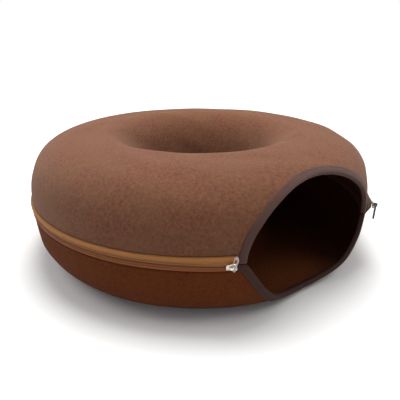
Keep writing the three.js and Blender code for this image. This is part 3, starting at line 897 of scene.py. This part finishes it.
def slider_plate(name, material):
    outline = rounded(PLATE_HALF + tuple((x, -z) for x, z in reversed(PLATE_HALF)), PLATE_CORNER)
    plate = plate_mesh(name, outline, PLATE, PLATE_BEVEL, material)
    return moved_points(plate, lambda p: (p.x, -PLATE / 2 - p.z, p.y))


def slider_arch(name, rise, material):
    """The bridge that holds the pull, as an outline along the zip and outward."""
    low = PLATE - BRIDGE_SUNK
    top = PLATE + rise + BRIDGE_BAR
    inner = BRIDGE_SPAN - BRIDGE_BAR
    under = top - BRIDGE_BAR
    corners = [(-BRIDGE_SPAN, low), (-BRIDGE_SPAN, top), (BRIDGE_SPAN, top), (BRIDGE_SPAN, low)]
    corners += [(inner, low), (inner, under), (-inner, under), (-inner, low)]
    outline = rounded(corners, BRIDGE_CORNER)
    arch = plate_mesh(name + "_arch", outline, BRIDGE_WIDTH, BRIDGE_BEVEL, material)
    return moved_points(arch, lambda p: (p.x + BRIDGE_MIDDLE, -p.y, p.z))


def slider_rib(name, side, material):
    """A low raised line along one side of the plate."""
    long, wide = RIB_HALF_LENGTH, RIB_HALF_WIDTH
    outline = rounded([(-long, -wide), (long, -wide), (long, wide), (-long, wide)], RIB_CORNER)
    rib = plate_mesh(name + "_rib", outline, RIB_DEPTH, RIB_BEVEL, material)
    lean = side * math.radians(RIB_LEAN)
    offset = side * RIB_OFFSET

    def laid(p):
        up = offset + p.x * math.sin(lean) + p.y * RIB_SQUEEZE
        return p.x * math.cos(lean), -PLATE - RIB_OUT - p.z, up

    return moved_points(rib, laid)


def slider_body(name, size, material):
    """A plate with a narrow end and a wide end, two ribs, and the arch that holds the pull."""
    parts = [slider_plate(name, material), slider_arch(name, size["rise"], material)]
    parts += [slider_rib(name, side, material) for side in (-1, 1)]
    leaning, placed = slider_place(size)
    return outward(moved_points(join(name, parts), lambda p: placed(leaning(p))))


def slider_pull(name, size, material):
    """A slotted tab on the arch's bar, which stays upright while the body leans."""
    half, wide, tail = size["half"], size["wide"], size["tail"]
    top = BRIDGE_WIDTH / 2 + size["play"] + PULL_ARM
    end = top - size["length"]
    slot_top = top - PULL_ARM
    slot_low = slot_top - size["slot"]
    neck = slot_low - PULL_ARM
    shoulder, narrow = (neck + up for up in PULL_SHOULDER)
    right_side = [(half, top), (wide, shoulder), (tail, narrow), (tail, end)]
    left_side = [(-x, z) for x, z in reversed(right_side)]
    outline = rounded(left_side[-1:] + right_side + left_side[:-1], PULL_CORNER)
    near = half - PULL_ARM
    far = wide - PULL_ARM
    slot = rounded([(-near, slot_top), (-far, slot_low), (far, slot_low), (near, slot_top)], SLOT_CORNER)
    tab = plate_mesh(name, outline, PULL, PULL_BEVEL, material, slot)
    roll = math.radians(size["roll"])
    reach = PLATE + size["rise"] + BRIDGE_BAR / 2 + SLIDER_GAP
    seat = Vector((-size["side"] * BRIDGE_MIDDLE, -reach * math.cos(roll), reach * math.sin(roll)))
    upturned = Matrix.Rotation(math.radians(180 - size["tilt"]) if size["side"] < 0 else 0.0, 3, "X")
    leaning = Matrix.Rotation(math.radians(size["lean"]), 3, "Y")
    turned = Matrix.Rotation(math.radians(size["turn"]), 3, "Z")
    attitude = upturned @ leaning @ turned
    _, placed = slider_place(size)

    def hung(p):
        return placed(attitude @ Vector((p.z, p.x, p.y)) + seat)

    return outward(moved_points(tab, hung))


# The materials' colours

felt_top = felt_material(
    "felt_upper",
    deep=rgb(0.05, 0.0165, 0.009),
    body=rgb(0.118, 0.043, 0.0225),
    fleck=rgb(0.215, 0.104, 0.061),
    dun=rgb(0.09, 0.044, 0.0195),
    sheen=0.09,
)
# The lower half's felt is the same felt, painted darker and redder: painted shade for the underside, which
# faces the floor.
felt_shaded_low = felt_material(
    "felt_lower",
    deep=rgb(0.038, 0.0065, 0.0012),
    body=rgb(0.084, 0.0175, 0.003),
    fleck=rgb(0.145, 0.042, 0.01),
    dun=rgb(0.063, 0.019, 0.003),
    sheen=0.01,
)
tape_tan = woven_material(
    "zip_tape_tan", rgb(0.3, 0.125, 0.037), rgb(0.21, 0.081, 0.02), TAPE_WEAVE, sheen=0.05, shade_strength=0.35)
# The tape below the slit is the same tape, painted darker: painted shade, as it faces down.
tape_shaded = woven_material(
    "zip_tape_shaded", rgb(0.19, 0.058, 0.015), rgb(0.13, 0.037, 0.009), TAPE_WEAVE, sheen=0.03, shade_strength=0.0)
strip = woven_material(
    "binding_brown", rgb(0.076, 0.035, 0.027), rgb(0.038, 0.0175, 0.014), BINDING_WEAVE, sheen=0.06)
# The lower binding is the same strip, painted darker: painted shade, as it lies under the opening.
strip_shaded = woven_material(
    "binding_shaded", rgb(0.037, 0.0125, 0.0075), rgb(0.02, 0.0065, 0.0038), BINDING_WEAVE, sheen=0.02)
thread_dark = thread_material("thread_dark", 0.075, 0.05, 0.042)
thread_felt = thread_material("thread_brown", 0.13, 0.05, 0.027)
# the same thread, painted darker to suit the painted shade of the lower felt and tape
thread_shaded = thread_material("thread_shaded", 0.075, 0.021, 0.007)
thread_tan = thread_material("thread_tan", 0.3, 0.15, 0.06)
silver = metal_material("slider_silver", rgb(0.75, 0.7, 0.62), rgb(0.5, 0.42, 0.34))
worn = metal_material("slider_worn", rgb(0.44, 0.37, 0.37), rgb(0.24, 0.19, 0.18))
# The right slider and pull are of the same silver as the left slider, painted dark: painted shade, as they
# stand in shadow.
shaded_metal = metal_material("slider_shaded_metal", rgb(0.14, 0.12, 0.1), rgb(0.07, 0.058, 0.045))

# The pieces

shell_top = felt_shell("felt_top_shell", upper, upper_edge, felt_top)
shell_bottom = felt_shell("felt_bottom_shell", lower, lower_edge, felt_shaded_low)
tape_upper = zip_tape("tape_upper", REVEAL_UPPER, UPPER_FULLEST, 1, tape_tan)
tape_lower = zip_tape("tape_lower", REVEAL_LOWER, LOWER_FULLEST, -1, tape_shaded)

upper_angles = opening_angles(BINDING_STEPS)
upper_cut = np.maximum(PATH_START, cut_length(upper, upper_rise, upper_angles))
upper_path = EdgePath(upper, upper_angles, upper_cut, (-1.0, 0.0))
lower_angles = np.concatenate([
    np.linspace(-TONGUE_ANGLE, -CORNER_ANGLE - CORNER_GAP, CORNER_POINTS),
    opening_angles(BINDING_STEPS),
    np.linspace(CORNER_ANGLE + CORNER_GAP, TONGUE_ANGLE, CORNER_POINTS),
])
lower_path = EdgePath(lower, lower_angles, lower_edge(lower_angles), (0.0, 1.0))
edge_upper = binding("binding_upper", upper_path, strip, seed=3)
edge_lower = binding("binding_lower", lower_path, strip_shaded, seed=4)

sewn_upper = binding_stitches("stitches_upper_binding", upper_path, thread_dark)
sewn_lower = binding_stitches("stitches_lower_binding", lower_path, thread_dark)
sewn_felt_top = felt_stitches("stitches_top_shell", upper, REVEAL_UPPER, thread_felt)
sewn_felt_low = felt_stitches("stitches_bottom_shell", lower, REVEAL_LOWER, thread_shaded)
sewn_tape_top = tape_stitches("stitches_tape_upper", REVEAL_UPPER, 1, thread_tan)
sewn_tape_low = tape_stitches("stitches_tape_lower", REVEAL_LOWER, -1, thread_shaded)
well_seam = seam_stitches("stitches_well_seam", thread_felt)

left_body = slider_body("left_slider", LEFT, silver)
left_pull = slider_pull("left_pull", LEFT, worn)
right_body = slider_body("right_slider", RIGHT, shaded_metal)
right_pull = slider_pull("right_pull", RIGHT, shaded_metal)

STANDS_FOR = (
    (shell_top, "top_shell", "felt_upper"),
    (shell_bottom, "bottom_shell", "felt_lower"),
    (tape_upper, "zip_tape_upper", "zip_tape"),
    (tape_lower, "zip_tape_lower", "zip_tape"),
    (edge_upper, "upper_binding", "binding"),
    (edge_lower, "lower_binding", "binding"),
    (left_body, "slider_left_body", "slider_metal"),
    (left_pull, "slider_left_pull", "slider_metal"),
    (right_body, "slider_right_body", "slider_metal"),
    (right_pull, "slider_right_pull", "slider_metal"),
)
for piece, node, slot in STANDS_FOR:
    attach(piece, "root")
    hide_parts(node)

SEWING = (
    (sewn_upper, "binding"),
    (sewn_lower, "binding"),
    (sewn_felt_top, "felt_upper"),
    (sewn_felt_low, "felt_lower"),
    (sewn_tape_top, "zip_tape"),
    (sewn_tape_low, "zip_tape"),
    (well_seam, "felt_upper"),
)
for piece, slot in SEWING:
    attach(piece, "root")


# The floor, the lights and the camera

def stage_floor():
    corners = ((-1, -1), (1, -1), (1, 1), (-1, 1))
    points = [(x * FLOOR_HALF, y * FLOOR_HALF, -FLOOR_BELOW) for x, y in corners]
    floor = mesh_object("floor", points, [(0, 1, 2, 3)], floor_material(), smooth=False)


def area_light(name, place, size, power, colour):
    data = bpy.data.lights.new(name, "AREA")
    data.shape = "DISK"
    data.size = size
    data.energy = power
    data.color = colour
    lamp = bpy.data.objects.new(name, data)
    lamp.location = place
    lamp.rotation_euler = (Vector(LIGHT_TARGET) - Vector(place)).to_track_quat("-Z", "Y").to_euler()
    bpy.context.scene.collection.objects.link(lamp)


def camera_frame():
    """The level directions from the part back to the camera and to its right, and the way up."""
    turn = math.radians(CAMERA_AZIMUTH)
    back = Vector((math.sin(turn), -math.cos(turn), 0.0))
    right = Vector((math.cos(turn), math.sin(turn), 0.0))
    return back, right, Vector((0.0, 0.0, 1.0))


def place_camera():
    back, right, up = camera_frame()
    rise = math.radians(CAMERA_ELEVATION)
    aim = Vector((0.0, AXIS_Y * MM, AIM_HEIGHT)) + right * AIM_RIGHT
    data = bpy.data.cameras.new("camera")
    data.sensor_width = SENSOR
    data.lens = FOCAL_PIXELS / IMAGE_PIXELS * SENSOR
    data.clip_start = CLIP_START
    camera = bpy.data.objects.new("camera", data)
    camera.location = aim + CAMERA_DISTANCE * (back * math.cos(rise) + up * math.sin(rise))
    camera.rotation_euler = (aim - camera.location).to_track_quat("-Z", "Y").to_euler()
    bpy.context.scene.collection.objects.link(camera)
    bpy.context.scene.camera = camera


def place_lights():
    """Two soft boxes beside the part and a stronger one over it, placed as the camera sees them."""
    back, right, up = camera_frame()
    area_light("left_box", -right * 1.5 - back * 0.1 + up * 1.4, size=1.3, power=17.0, colour=SIDE_LIGHT)
    area_light("right_box", right * 1.35 + back * 0.5 + up * 1.7, size=1.2, power=18.0, colour=SIDE_LIGHT)
    area_light("top_box", up * 2.2 - back * 0.4, size=1.4, power=76.0, colour=TOP_LIGHT)


def surround_with_light():
    """A white horizon under a dimmer sky."""
    world = bpy.data.worlds.new("studio")
    world.use_nodes = True
    tree = world.node_tree
    direction = add(tree, "ShaderNodeTexCoord").outputs["Generated"]
    slope = add(tree, "ShaderNodeSeparateXYZ", {"Vector": direction}).outputs["Z"]
    sky = tree.nodes["Background"]
    sky.inputs["Color"].default_value = rgb(1.0, 1.0, 1.0)
    tree.links.new(spread(tree, slope, *HORIZON), sky.inputs["Strength"])
    bpy.context.scene.world = world


stage_floor()
place_lights()
surround_with_light()
place_camera()
bpy.context.scene.view_settings.view_transform = "Standard"
